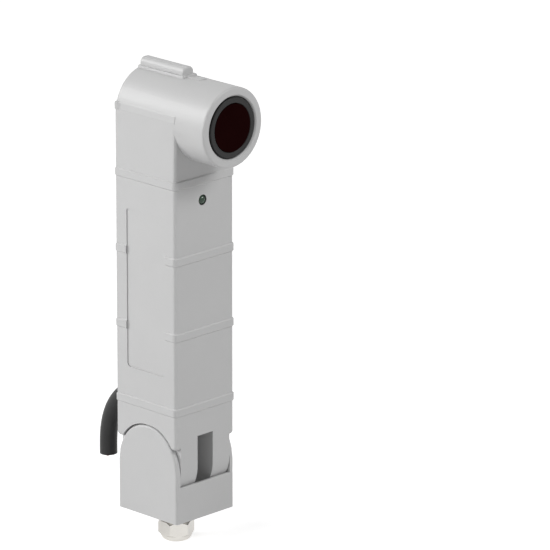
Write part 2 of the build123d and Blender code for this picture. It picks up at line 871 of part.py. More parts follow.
def terminal_places():
    """X of each pole of the terminal block."""
    middle = (terminal_count - 1) / 2
    return [(index - middle) * terminal_pitch for index in range(terminal_count)]


def terminal_block():
    """Screw terminal block with a wire entry below and a screw well behind, for each pole."""
    half = terminal_count * terminal_pitch / 2 + terminal_end_wall
    rear = main_board_rear_y + terminal_depth
    well_foot = rear - terminal_screw_length
    body = block(-half, half, main_board_rear_y, rear, terminal_bottom_z, terminal_top_z)
    body = chamfer(body.edges().filter_by(Axis.X).sort_by(Axis.Y)[-2:], terminal_chamfer)
    entry = terminal_entry / 2
    entry_y = main_board_rear_y + terminal_entry_setback
    for x in terminal_places():
        body -= block(
            x - entry, x + entry, entry_y - entry, entry_y + entry, terminal_bottom_z - 1,
            terminal_bottom_z + terminal_entry_depth,
        )
        body -= rod_y(terminal_screw_radius + seat_gap, well_foot, rear + 1, x, terminal_screw_z)
    return body


def terminal_screws():
    """Clamping screws at the foot of the wells."""
    rear = main_board_rear_y + terminal_depth
    radius = terminal_screw_radius
    slot = terminal_slot_width / 2
    head = rod_y(radius, rear - terminal_screw_length, rear - terminal_screw_length / 3)
    head -= block(-radius, radius, rear - terminal_screw_length / 2, rear, -slot, slot)
    return [Pos(x, 0, terminal_screw_z) * head for x in terminal_places()]


def core_wires():
    """Cores of the cable, fanned out from the grommet to the terminal block."""
    start_y = cover_front_y - grommet_inner_thickness
    turn_y = start_y - wire_straight
    entry_y = main_board_rear_y + terminal_entry_setback
    end_z = terminal_bottom_z + wire_insertion
    middle = (terminal_count - 1) / 2
    wires = []
    for index, x in enumerate(terminal_places()):
        start_x = (index - middle) * wire_pitch_at_grommet
        route = [
            (start_x, start_y, cable_exit_z),
            (start_x, turn_y, cable_exit_z),
            (x, entry_y, cable_exit_z),
            (x, entry_y, end_z),
        ]
        if index == middle:
            del route[1]
        radii = [wire_bend] * (len(route) - 2)
        path = FilletPolyline(*route, radius=radii)
        section = Plane(origin=route[0], z_dir=(0, -1, 0)) * Circle(wire_radius)
        wires.append(sweep(section, path=path))
    return wires


def ribbon_cable():
    """Flat ribbon from the round board down to the main board."""
    top_z = optical_axis_z - receiver_board_radius + connector_edge_inset + connector_height / 2
    low_z = main_board_top_z - connector_edge_inset - connector_height / 2
    top_y = receiver_board_rear_y + connector_depth
    low_y = main_board_rear_y + connector_depth
    bow_y = receiver_board_rear_y + ribbon_bow
    route = [(0, top_y, top_z), (0, bow_y, top_z), (0, bow_y, low_z), (0, low_y, low_z)]
    path = FilletPolyline(*route, radius=[ribbon_bend, ribbon_bend])
    start = Plane(origin=route[0], x_dir=(1, 0, 0), z_dir=(0, 1, 0))
    return sweep(start * Rectangle(2 * ribbon_half_width, ribbon_thickness), path=path)


def ribbon_connectors():
    """Two connectors that hold the ends of the ribbon."""
    top_z = optical_axis_z - receiver_board_radius + connector_edge_inset
    low_z = main_board_top_z - connector_edge_inset - connector_height
    half = connector_half_width
    sockets = []
    for y, z in ((receiver_board_rear_y, top_z), (main_board_rear_y, low_z)):
        sockets.append(
            block(-half, half, y, y + connector_depth, z, z + connector_height)
        )
    return sockets


def tail_grommet():
    """Rubber grommet snapped into the rear cover round the cable tail."""
    inner_y = cover_front_y - grommet_inner_thickness
    face_y = cable_route[0][1]
    nose_y = face_y - grommet_nose
    profile = [
        (0, inner_y),
        (grommet_flange_radius - grommet_bevel, inner_y),
        (grommet_flange_radius, cover_front_y),
        (grommet_neck_radius, cover_front_y),
        (grommet_neck_radius, half_depth),
        (grommet_flange_radius, half_depth),
        (grommet_flange_radius, nose_y),
        (grommet_flange_radius - grommet_nose_slope, face_y),
        (0, face_y),
    ]
    lift = cable_exit_z - optical_axis_z
    floor_z = cavity_floor_z + seat_gap
    grommet = Pos(0, 0, lift) * turned_on_optical_axis(*profile)
    return grommet - block(-half_width, half_width, inner_y - 1, cover_front_y, floor_z - half_width, floor_z)


def turn_radii(route):
    """Largest arc that the two runs at each corner allow."""
    radii = []
    for before, corner, after in zip(route, route[1:], route[2:]):
        run_in = Vector(*corner) - Vector(*before)
        run_out = Vector(*after) - Vector(*corner)
        shorter = min(run_in.length, run_out.length)
        radii.append(arc_share * shorter / tan(radians(run_in.get_angle(run_out)) / 2))
    return radii


def cable_tail():
    """Short black cable that leaves the rear cover and hangs down behind the housing."""
    radii = turn_radii(cable_route)
    path = FilletPolyline(*cable_route, radius=radii)
    section = Plane(origin=cable_route[0], z_dir=(0, 1, 0)) * Circle(cable_radius)
    tube = sweep(section, path=path)
    exact = Circle(cable_radius).area * path.length
    print("cable radii", [round(radius, 1) for radius in radii], "length", round(path.length, 1))
    print("cable volume", round(tube.volume), "section times length", round(exact))
    return tube


def floor_grommet():
    """Membrane grommet in the floor of the housing, above the slot."""
    neck = floor_hole_radius - seat_gap
    lip = neck + floor_grommet_lip
    top = cavity_floor_z + floor_grommet_flange
    return turned_on_z(
        (0, slot_top_z + floor_grommet_dimple),
        (neck - floor_grommet_skin, slot_top_z + floor_grommet_dimple),
        (neck - floor_grommet_skin, slot_top_z),
        (neck, slot_top_z),
        (neck, cavity_floor_z),
        (lip, cavity_floor_z),
        (lip - floor_grommet_bevel, top),
        (0, top),
    )


def pivot_screw():
    """Long countersunk screw through the right cheek, both tongues and the nut."""
    length = base_half_width * 2 - nut_skin
    screw = countersunk_screw(pivot_screw_radius, pivot_head_radius, length, pivot_socket_flats)
    return Pos(base_half_width, 0, pivot_z) * Rot(0, 90, 0) * screw


def pivot_nut():
    """Square nut in the blind pocket of the left cheek."""
    outer_x = -base_half_width + nut_skin
    half = nut_side / 2
    nut = block(outer_x, outer_x + nut_thickness, -half, half, pivot_z - half, pivot_z + half)
    return nut - rod_x(pivot_screw_radius + thread_gap, -base_half_width, 0, z=pivot_z)


def pivot_bushes():
    """Plain bushes in the tongues, one each side of the slot."""
    bushes = []
    for side in (-1, 1):
        near = min(side * slot_half, side * washer_pocket_x)
        far = max(side * slot_half, side * washer_pocket_x)
        bush = rod_x(bush_outer_radius, near, far, z=pivot_z)
        bushes.append(bush - rod_x(pivot_screw_radius + running_gap, near - 1, far + 1, z=pivot_z))
    return bushes


def friction_washers():
    """Friction washers between the tongues and the cheeks."""
    washers = []
    for side in (-1, 1):
        inner_x = washer_pocket_x
        outer_x = washer_pocket_x + washer_thickness
        near = min(side * inner_x, side * outer_x)
        far = max(side * inner_x, side * outer_x)
        washer = rod_x(washer_radius, near, far, z=pivot_z)
        washers.append(washer - rod_x(pivot_screw_radius + running_gap, near - 1, far + 1, z=pivot_z))
    return washers


def gland_hexagon(z_from, z_to):
    """Hexagonal prism with its corners chamfered at both ends."""
    hexagon = Rot(0, 0, gland_flat_angle - 30) * RegularPolygon(gland_flats / 2, 6, major_radius=False)
    prism = extrude(Pos(0, 0, z_from) * hexagon, z_to - z_from)
    corner = gland_flats / 2 / cos(radians(30))
    flat = gland_flats / 2 + gland_dome_step
    return prism & turned_on_z(
        (0, z_from),
        (flat, z_from),
        (corner, z_from + gland_corner_chamfer),
        (corner, z_to - gland_corner_chamfer),
        (flat, z_to),
        (0, z_to),
    )


def gland_cap_nut():
    """Hexagonal dome nut with a conical seat inside."""
    flat = gland_flats / 2
    bulge = (flat - gland_dome_bulge, gland_dome_z - gland_dome_height / 2)
    rim = (gland_dome_radius, gland_end_z)
    edge = Polyline(rim, (0, gland_end_z), (0, gland_dome_z), (flat, gland_dome_z))
    edge += ThreePointArc((flat, gland_dome_z), bulge, rim)
    dome = revolve(make_face(Plane.XZ * edge), axis=Axis.Z)
    nut = gland_hexagon(gland_dome_z, gland_nut_top_z) + dome
    thread = gland_thread_radius + thread_gap
    return nut - turned_on_z(
        (0, gland_nut_top_z + 1),
        (thread, gland_nut_top_z + 1),
        (thread, gland_seat_z),
        (gland_outlet_radius, gland_dome_z),
        (gland_outlet_radius, gland_end_z - 1),
        (0, gland_end_z - 1),
    )


def gland_nipple():
    """Gland body: thread into the base, hexagonal collar, and thread for the cap nut."""
    body = rod_z(gland_thread_radius, gland_thread_foot_z, gland_thread_up)
    body += gland_hexagon(-gland_collar_height, 0)
    return body - rod_z(gland_bore_radius, gland_thread_foot_z - 1, gland_thread_up + 1)


def gland_claw():
    """Slit plastic sleeve that the cap nut's cone squeezes on to the seal."""
    outer = gland_bore_radius - thread_gap
    inner = outer - gland_claw_wall
    foot_z = gland_dome_z + gland_claw_foot
    claw = turned_on_z(
        (inner, -gland_seal_top),
        (outer, -gland_seal_top),
        (outer, gland_seat_z),
        (gland_outlet_radius + gland_claw_lip, foot_z),
        (gland_outlet_radius - gland_claw_wall / 2, foot_z),
        (inner, gland_seat_z),
    )
    reach = gland_thread_radius
    slit = block(-reach, reach, -gland_claw_slit / 2, gland_claw_slit / 2, foot_z - 1, gland_thread_foot_z)
    for angle in (0, 60, 120):
        claw -= Rot(0, 0, angle) * slit
    return claw


def gland_seal():
    """Rubber sleeve inside the claw."""
    outer = gland_bore_radius - gland_claw_wall - 2 * thread_gap
    seal = rod_z(outer, gland_thread_foot_z, -gland_seal_top)
    return seal - rod_z(gland_seal_bore, gland_thread_foot_z - 1, 0)


def gland_o_ring():
    """Sealing ring between the gland's collar and the base."""
    inner = gland_thread_radius + gland_land
    outer = inner + gland_o_ring_width
    ring = rod_z(outer, 0, gland_o_ring_section)
    return ring - rod_z(inner, -1, gland_o_ring_section + 1)


def mount_inserts():
    """Four brass threaded inserts in the underside of the base."""
    inserts = []
    for x, y in mount_places():
        insert = rod_z(insert_outer_radius, insert_flush_gap, insert_flush_gap + insert_length, x, y)
        inserts.append(insert - rod_z(insert_thread_radius, -1, insert_length + 1, x, y))
    return inserts


pieces = {
    "base_bracket": base_bracket,
    "pivot_screw": pivot_screw,
    "pivot_nut": pivot_nut,
    "gland_nipple": gland_nipple,
    "gland_cap_nut": gland_cap_nut,
    "gland_claw": gland_claw,
    "gland_seal": gland_seal,
    "gland_o_ring": gland_o_ring,
    "mount_inserts": mount_inserts,
    "main_housing": main_housing,
    "pivot_bushes": pivot_bushes,
    "friction_washers": friction_washers,
    "floor_grommet": floor_grommet,
    "rear_cover": rear_cover,
    "cover_gasket": cover_gasket,
    "cover_screws": cover_screws,
    "retaining_ring": retaining_ring,
    "lens_window": lens_window,
    "window_seal": window_seal,
    "optics_tube": optics_tube,
    "collimator_lens": collimator_lens,
    "lens_retainer": lens_retainer,
    "optics_screws": optics_screws,
    "receiver_board": receiver_board,
    "receiver_screws": receiver_screws,
    "photodiode": photodiode,
    "main_board": main_board,
    "board_screws": board_screws,
    "indicator_led": indicator_led,
    "output_relays": output_relays,
    "board_capacitors": board_capacitors,
    "board_chips": board_chips,
    "terminal_block": terminal_block,
    "terminal_screws": terminal_screws,
    "core_wires": core_wires,
    "ribbon_cable": ribbon_cable,
    "ribbon_connectors": ribbon_connectors,
    "tail_grommet": tail_grommet,
    "cable_tail": cable_tail,
}

os.makedirs("parts", exist_ok=True)
for name, build in pieces.items():
    made = build()
    shape = Compound(children=list(made)) if isinstance(made, list) else made
    export_step(shape, f"parts/{name}.step")
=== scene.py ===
"""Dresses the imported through-beam sensor: finishes, lamp, window, cable and a white studio."""

import logging
from dataclasses import dataclass
from enum import Enum
from math import asin, cos, degrees, hypot, pi, radians, sin, sqrt, tan
from typing import Any

import bmesh
import bpy
from mathutils import Matrix, Vector


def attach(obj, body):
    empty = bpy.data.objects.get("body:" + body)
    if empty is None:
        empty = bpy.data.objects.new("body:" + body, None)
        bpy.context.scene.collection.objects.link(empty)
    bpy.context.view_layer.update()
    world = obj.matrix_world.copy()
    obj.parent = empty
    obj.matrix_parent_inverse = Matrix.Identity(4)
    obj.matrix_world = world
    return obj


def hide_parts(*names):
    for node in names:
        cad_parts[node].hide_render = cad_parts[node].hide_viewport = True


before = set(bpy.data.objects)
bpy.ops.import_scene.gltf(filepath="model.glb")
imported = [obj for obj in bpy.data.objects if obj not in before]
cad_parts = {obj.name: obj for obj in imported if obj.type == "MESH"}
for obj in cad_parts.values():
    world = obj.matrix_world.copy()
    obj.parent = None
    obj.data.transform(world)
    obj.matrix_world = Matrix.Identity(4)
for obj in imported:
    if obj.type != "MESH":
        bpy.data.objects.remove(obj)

log = logging.getLogger("sensor")

Point = tuple[float, float, float]
Profile = list[tuple[float, float]]

MM = 0.001
WHITE = (1.0, 1.0, 1.0, 1.0)
# Edges between faces that meet at more than this angle stay crisp.
CREASE_DEG = 32.0
# Distances in metres within which cuts snap, turned shapes close and facets merge.
CUT_SNAP = 1e-7
SEAM_WELD = 1e-6
FACET_WELD = 2e-6


def linear(hex_colour: str) -> tuple[float, float, float, float]:
    """Turns an sRGB hex colour into the linear colour that shaders take.

    Args:
        hex_colour: Six hexadecimal digits, such as "C4C4C2".

    Returns:
        Linear red, green, blue and an alpha of 1.
    """
    channels = [int(hex_colour[i : i + 2], 16) / 255 for i in (0, 2, 4)]
    curved = [c / 12.92 if c <= 0.04045 else ((c + 0.055) / 1.055) ** 2.4 for c in channels]
    return (*curved, 1.0)


def add_node(
    tree: bpy.types.NodeTree,
    kind: str,
    inputs: dict[str | int, Any] | None = None,
    **settings: Any,
) -> bpy.types.Node:
    """Adds a node with its settings, socket values and links.

    Args:
        tree: The material's or world's node tree.
        kind: The node's type, such as "ShaderNodeMix".
        inputs: Socket name or index to a value, or to an output socket that is linked to it.
        **settings: Attributes of the node itself.

    Returns:
        The new node.
    """
    node = tree.nodes.new(kind)
    for name, value in settings.items():
        setattr(node, name, value)
    for socket, value in (inputs or {}).items():
        if isinstance(value, bpy.types.NodeSocket):
            tree.links.new(value, node.inputs[socket])
        else:
            node.inputs[socket].default_value = value
    return node


class Relief(Enum):
    """How a surface was made, which decides the pattern of its fine relief."""

    SPRAYED = "sprayed"
    MOULDED = "moulded"
    TURNED = "turned"
    ROLLED = "rolled"
    POLISHED = "polished"


# How the two noises and the turning rings are broken up.
CLOUD_NOISE = {"Detail": 4.0, "Roughness": 0.6}
GRAIN_NOISE = {"Detail": 3.0, "Roughness": 0.55}
TURNING_WAVE = {"Distortion": 0.6, "Detail": 2.0}
# Rolled and drawn marks run along Z. Every other grain is even.
ROLLED_STRETCH = (1.0, 1.0, 0.08)
EVEN_STRETCH = (1.0, 1.0, 1.0)
# The part of the cloudy noise over which the colour turns into its shade.
TINT_RANGE = (0.3, 0.7)
LOWEST_ROUGHNESS = 0.02
COAT_ROUGHNESS = 0.12


@dataclass(frozen=True)
class Finish:
    """A surface finish: its colours, gloss and the relief left by how it was made.

    Real spark-eroded, turned and rolled marks lie a few hundredths of a millimetre apart, too fine
    to show. They are drawn at the grain given here, as coarse as they need to be to show.

    Attributes:
        name: The material's name.
        colour: Main colour, sRGB hex.
        shade: The slightly different colour that clouds it, sRGB hex.
        roughness: Mean roughness.
        relief: How the surface was made.
        metallic: 1 for bare metal.
        ior: Index of refraction.
        grain_mm: Spacing of the fine relief.
        depth_mm: Depth of the fine relief.
        mottle_mm: Size of the colour's clouds.
        spread: How far the roughness varies with the relief.
        coat: Weight of a clear coat.
        specular: Strength of the surface's reflection.
        transmission: Share of light let through.
        axis: Axis of the rings on a turned surface, along Y or Z.
    """

    name: str
    colour: str
    shade: str
    roughness: float
    relief: Relief = Relief.MOULDED
    metallic: float = 0.0
    ior: float = 1.5
    grain_mm: float = 0.8
    depth_mm: float = 0.02
    mottle_mm: float = 25.0
    spread: float = 0.06
    coat: float = 0.0
    specular: float = 0.5
    transmission: float = 0.0
    axis: Point = (0.0, 0.0, 1.0)

    def relief_height(
        self, tree: bpy.types.NodeTree, place: bpy.types.NodeSocket
    ) -> bpy.types.NodeSocket:
        """Draws the height of the fine relief.

        Args:
            tree: The material's node tree.
            place: Object coordinates.

        Returns:
            The socket that carries the height, from 0 to 1.
        """
        scale = 1 / (self.grain_mm * MM)
        if self.relief is Relief.TURNED:
            rings = add_node(
                tree,
                "ShaderNodeTexWave",
                {"Vector": place, "Scale": scale / (2 * pi), **TURNING_WAVE},
                wave_type="RINGS",
                rings_direction="Z" if self.axis[2] else "Y",
            )
            return rings.outputs["Fac"]
        stretch = ROLLED_STRETCH if self.relief is Relief.ROLLED else EVEN_STRETCH
        laid = add_node(tree, "ShaderNodeMapping", {"Vector": place, "Scale": stretch})
        noise = add_node(
            tree,
            "ShaderNodeTexNoise",
            {"Vector": laid.outputs["Vector"], "Scale": scale, **GRAIN_NOISE},
        )
        return noise.outputs["Fac"]

    def blend_colours(
        self, tree: bpy.types.NodeTree, factor: bpy.types.NodeSocket
    ) -> bpy.types.NodeSocket:
        """Blends the colour into its slightly different shade along a cloudy factor.

        Args:
            tree: The material's node tree.
            factor: The socket that carries the blend, from 0 to 1.

        Returns:
            The socket that carries the colour.
        """
        ramp = add_node(tree, "ShaderNodeValToRGB", {"Fac": factor})
        low, high = ramp.color_ramp.elements
        low.position, high.position = TINT_RANGE
        low.color, high.color = linear(self.colour), linear(self.shade)
        return ramp.outputs["Color"]

    def make(self) -> bpy.types.Material:
        """Builds the node material.

        Returns:
            The finished material.
        """
        material = bpy.data.materials.new(self.name)
        material.use_nodes = True
        tree = material.node_tree
        tree.nodes.clear()
        place = add_node(tree, "ShaderNodeTexCoord").outputs["Object"]
        cloud = add_node(
            tree,
            "ShaderNodeTexNoise",
            {"Vector": place, "Scale": 1 / (self.mottle_mm * MM), **CLOUD_NOISE},
        )
        tint = self.blend_colours(tree, cloud.outputs["Fac"])
        height = self.relief_height(tree, place)
        gloss = add_node(
            tree,
            "ShaderNodeMapRange",
            {
                "Value": height,
                "To Min": max(LOWEST_ROUGHNESS, self.roughness - self.spread / 2),
                "To Max": min(1.0, self.roughness + self.spread / 2),
            },
        )
        bump = add_node(
            tree,
            "ShaderNodeBump",
            {"Height": height, "Distance": self.depth_mm * MM, "Strength": 1.0},
        )
        surface = add_node(
            tree,
            "ShaderNodeBsdfPrincipled",
            {
                "Base Color": tint,
                "Roughness": gloss.outputs["Result"],
                "Normal": bump.outputs["Normal"],
                "Metallic": self.metallic,
                "IOR": self.ior,
                "Specular IOR Level": self.specular,
                "Coat Weight": self.coat,
                "Coat Roughness": COAT_ROUGHNESS,
                "Transmission Weight": self.transmission,
            },
        )
        add_node(tree, "ShaderNodeOutputMaterial", {"Surface": surface.outputs["BSDF"]})
        return material


# Powder coat on a die casting: a soft satin skin with the faint orange peel of sprayed powder.
POWDER_COAT = Finish(
    "powder_coated_casting", "C3C3C3", "C0C0C0", 0.5, Relief.SPRAYED,
    grain_mm=0.9, depth_mm=0.012, mottle_mm=40.0, specular=0.8,
)
# Moulded ABS in the coat's grey: a touch flatter, with a fine spark-eroded grain.
MOULDED_ABS = Finish(
    "moulded_abs_cover", "BCBCBA", "B8B8B6", 0.55,
    grain_mm=0.5, depth_mm=0.015, mottle_mm=30.0,
)
# Glass-filled nylon: near black, with a soft sheen that catches the lamps on its edges.
BLACK_NYLON = Finish(
    "moulded_black_nylon", "232323", "282828", 0.34,
    grain_mm=0.4, depth_mm=0.01, mottle_mm=10.0, specular=0.22,
)
# Cast acrylic filter: red so deep that it reads as black, under a polished face.
FILTER_ACRYLIC = Finish(
    "cast_acrylic_filter", "1A0707", "1E0909", 0.09, Relief.POLISHED,
    ior=1.49, grain_mm=6.0, depth_mm=0.002, mottle_mm=18.0, spread=0.03, specular=0.0,
)
# Nitrile rubber: matt and black, dusted a little grey.
NITRILE = Finish(
    "moulded_nitrile_rubber", "222223", "29292A", 0.72,
    grain_mm=0.5, depth_mm=0.02, mottle_mm=8.0,
)
# Extruded PVC sheath: dark grey-black with a long soft highlight.
PVC_SHEATH = Finish(
    "extruded_pvc_sheath", "343434", "393939", 0.46,
    grain_mm=1.2, depth_mm=0.02, mottle_mm=12.0, specular=0.2,
)
# Nickel plate on turned brass: warm pale metal, its turning marks nearly polished out.
NICKEL_PLATE = Finish(
    "nickel_plated_brass", "D0CEC9", "C8C5C0", 0.13, Relief.ROLLED,
    metallic=1.0, grain_mm=0.35, depth_mm=0.004, mottle_mm=9.0,
)
# Turned brass: warm yellow metal with fine rings from the lathe.
TURNED_BRASS = Finish(
    "turned_brass", "C9A55C", "BD9850", 0.3, Relief.TURNED,
    metallic=1.0, grain_mm=0.4, depth_mm=0.006, mottle_mm=5.0,
)
# Zinc-plated steel: grey-blue, faintly cloudy.
ZINC_STEEL = Finish(
    "zinc_plated_steel", "AEB1B4", "A2A5A8", 0.34, Relief.ROLLED,
    metallic=1.0, grain_mm=0.3, depth_mm=0.004, mottle_mm=4.0,
)
# Black anodised aluminium: satin and nearly black, so that the optics tube swallows stray light.
BLACK_ANODISED = Finish(
    "black_anodised_aluminium", "1C1C1E", "222224", 0.45, Relief.TURNED,
    metallic=0.6, grain_mm=0.5, depth_mm=0.006, mottle_mm=15.0, axis=(0.0, 1.0, 0.0),
)
# Polished crown glass: clear, with crisp reflections and hardly a tint.
CROWN_GLASS = Finish(
    "polished_crown_glass", "F4F8F8", "EEF5F4", 0.03, Relief.POLISHED,
    ior=1.52, grain_mm=8.0, depth_mm=0.0005, mottle_mm=20.0, spread=0.01, transmission=0.95,
)
# Solder mask on glass-fibre board: mid green under a thin gloss, with the tracks' faint relief.
SOLDER_MASK = Finish(
    "green_solder_mask", "1E5B38", "256843", 0.3,
    grain_mm=1.4, depth_mm=0.03, mottle_mm=3.0, coat=0.3,
)
# Moulded epoxy of chips and capacitors: flat charcoal with a fine grain.
EPOXY_PACKAGE = Finish(
    "moulded_epoxy_package", "232326", "2A2A2C", 0.6,
    grain_mm=0.3, depth_mm=0.01, mottle_mm=3.0,
)
# Moulded relay case: smooth slate-grey plastic.
RELAY_CASE = Finish(
    "moulded_relay_case", "5A6064", "62686C", 0.4,
    grain_mm=0.5, depth_mm=0.01, mottle_mm=6.0,
)
# Green nylon of a terminal block: waxy and even.
TERMINAL_NYLON = Finish(
    "moulded_green_nylon", "2C7A4C", "348656", 0.42,
    grain_mm=0.6, depth_mm=0.015, mottle_mm=5.0,
)
# Die-cut foam: matt dark grey with open pores.
GASKET_FOAM = Finish(
    "die_cut_foam", "46484A", "525456", 0.9,
    grain_mm=0.4, depth_mm=0.06, mottle_mm=3.0,
)
# Turned acetal: milky white with faint rings from the lathe.
ACETAL = Finish(
    "turned_acetal", "E6E4DA", "DEDCD0", 0.4, Relief.TURNED,
    grain_mm=0.4, depth_mm=0.008, mottle_mm=6.0,
)
# Pressed friction fibre: dull red-brown and coarse.
FRICTION_FIBRE = Finish(
    "pressed_friction_fibre", "7C5138", "8D5F44", 0.85,
    grain_mm=0.5, depth_mm=0.05, mottle_mm=2.0,
)
# Natural nylon: off-white and a little waxy.
NATURAL_NYLON = Finish(
    "moulded_natural_nylon", "D9D8CF", "D0CFC4", 0.45,
    grain_mm=0.6, depth_mm=0.01, mottle_mm=6.0,
)
# PVC on the cores: dark red with a soft gloss.
CORE_PVC = Finish(
    "extruded_core_pvc", "9A3A2A", "7F2F24", 0.4,
    grain_mm=0.6, depth_mm=0.01, mottle_mm=6.0,
)
# Ribbon cable: plain grey PVC, its relief at the cores' pitch of 1.27 mm.
RIBBON_PVC = Finish(
    "ribbon_cable_pvc", "8E9498", "9AA0A4", 0.5, Relief.ROLLED,
    grain_mm=1.27, depth_mm=0.2, mottle_mm=9.0,
)
# Tinted epoxy of an unlit lamp: dull dark green that lets a little light into its depth.
LAMP_EPOXY = Finish(
    "tinted_lamp_epoxy", "0B3219", "1B4E2F", 0.07, Relief.POLISHED,
    ior=1.52, grain_mm=3.0, depth_mm=0.003, mottle_mm=2.0, spread=0.05, transmission=0.1,
)
# Drawn copper strands: reddish metal with marks along the wire.
COPPER_STRAND = Finish(
    "drawn_copper_strand", "C98B62", "B97A52", 0.35, Relief.ROLLED,
    metallic=1.0, grain_mm=0.2, depth_mm=0.02, mottle_mm=1.0,
)

NODE_FINISHES: dict[str, Finish] = {
    "base_bracket": POWDER_COAT,
    "pivot_screw": ZINC_STEEL,
    "pivot_nut": ZINC_STEEL,
    "gland_nipple": NICKEL_PLATE,
    "gland_cap_nut": NICKEL_PLATE,
    "gland_claw": NATURAL_NYLON,
    "gland_seal": NITRILE,
    "gland_o_ring": NITRILE,
    "mount_inserts": TURNED_BRASS,
    "main_housing": POWDER_COAT,
    "pivot_bushes": ACETAL,
    "friction_washers": FRICTION_FIBRE,
    "floor_grommet": NITRILE,
    "rear_cover": MOULDED_ABS,
    "cover_gasket": GASKET_FOAM,
    "cover_screws": ZINC_STEEL,
    "retaining_ring": BLACK_NYLON,
    "lens_window": FILTER_ACRYLIC,
    "window_seal": NITRILE,
    "optics_tube": BLACK_ANODISED,
    "collimator_lens": CROWN_GLASS,
    "lens_retainer": BLACK_NYLON,
    "optics_screws": ZINC_STEEL,
    "receiver_board": SOLDER_MASK,
    "receiver_screws": ZINC_STEEL,
    "photodiode": EPOXY_PACKAGE,
    "main_board": SOLDER_MASK,
    "board_screws": ZINC_STEEL,
    "indicator_led": LAMP_EPOXY,
    "output_relays": RELAY_CASE,
    "board_capacitors": EPOXY_PACKAGE,
    "board_chips": EPOXY_PACKAGE,
    "terminal_block": TERMINAL_NYLON,
    "terminal_screws": ZINC_STEEL,
    "core_wires": CORE_PVC,
    "ribbon_cable": RIBBON_PVC,
    "ribbon_connectors": EPOXY_PACKAGE,
    "tail_grommet": NITRILE,
    "cable_tail": PVC_SHEATH,
}


class Palette:
    """Makes each finish's material once and hands it out."""

    def __init__(self) -> None:
        """Starts with no materials made."""
        self.made: dict[str, bpy.types.Material] = {}

    def material(self, finish: Finish) -> bpy.types.Material:
        """Gives the material of a finish.

        Args:
            finish: The finish to look up or make.

        Returns:
            The one material of that finish.
        """
        if finish.name not in self.made:
            self.made[finish.name] = finish.make()
        return self.made[finish.name]


def paint(piece: bpy.types.Object, material: bpy.types.Material) -> None:
    """Gives a piece its one material.

    Args:
        piece: The piece, with or without material slots.
        material: The material for all of it.
    """
    if piece.material_slots:
        for slot in piece.material_slots:
            slot.material = material
    else:
        piece.data.materials.append(material)


def add_object(name: str, data: bpy.types.ID) -> bpy.types.Object:
    """Makes an object at the origin and links it to the scene.

    Args:
        name: The object's name.
        data: Its mesh, curve, lamp or camera.

    Returns:
        The new object.
    """
    made = bpy.data.objects.new(name, data)
    bpy.context.scene.collection.objects.link(made)
    return made


def add_mesh_object(name: str, shape: bmesh.types.BMesh) -> bpy.types.Object:
    """Turns a finished bmesh into an object.

    Args:
        name: The name of the object and its mesh.
        shape: The bmesh, which is freed.

    Returns:
        The new object at the origin.
    """
    mesh = bpy.data.meshes.new(name)
    shape.to_mesh(mesh)
    shape.free()
    return add_object(name, mesh)


def place_piece(
    name: str, shape: bmesh.types.BMesh, body: str, material: bpy.types.Material
) -> bpy.types.Object:
    """Turns a finished bmesh into a piece that rides on a body.

    Args:
        name: The piece's name.
        shape: The bmesh, which is freed.
        body: The CAD body that carries the piece.
        material: The piece's material.

    Returns:
        The new object at the origin.
    """
    piece = add_mesh_object(name, shape)
    paint(piece, material)
    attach(piece, body)
    log.info("%s: %d faces on %s", name, len(piece.data.polygons), body)
    return piece


def soften_normals(shape: bmesh.types.BMesh) -> None:
    """Shades a shape smooth, apart from its creases.

    Args:
        shape: The bmesh to shade.
    """
    for face in shape.faces:
        face.smooth = True
    for edge in shape.edges:
        edge.smooth = edge.calc_face_angle(0.0) < radians(CREASE_DEG)


def cut_across(shape: bmesh.types.BMesh, place: Point, normal: Point) -> None:
    """Cuts a shape's faces along a plane and keeps both sides.

    Args:
        shape: The bmesh to cut.
        place: A point on the plane.
        normal: The plane's normal.
    """
    bmesh.ops.bisect_plane(
        shape,
        geom=shape.verts[:] + shape.edges[:] + shape.faces[:],
        dist=CUT_SNAP,
        plane_co=place,
        plane_no=normal,
    )


def turned(points: Profile, axis: Vector, centre: Vector, steps: int) -> bmesh.types.BMesh:
    """Spins a closed profile of (radius, distance along the axis) points into a turned shape.

    Args:
        points: The profile, which ends where it starts.
        axis: Direction of the turning axis, a unit vector along Y or Z.
        centre: A point on the axis, where the distance is 0.
        steps: Number of steps round.

    Returns:
        The turned bmesh.
    """
    shape = bmesh.new()
    side = Vector((1.0, 0.0, 0.0))
    vertices = [shape.verts.new(centre + side * radius + axis * along) for radius, along in points]
    edges = [shape.edges.new(pair) for pair in zip(vertices, vertices[1:])]
    bmesh.ops.spin(
        shape,
        geom=vertices + edges,
        cent=centre,
        axis=axis,
        angle=2 * pi,
        steps=steps,
        use_merge=True,
    )
    bmesh.ops.remove_doubles(shape, verts=shape.verts, dist=SEAM_WELD)
    bmesh.ops.recalc_face_normals(shape, faces=shape.faces)
    soften_normals(shape)
    return shape


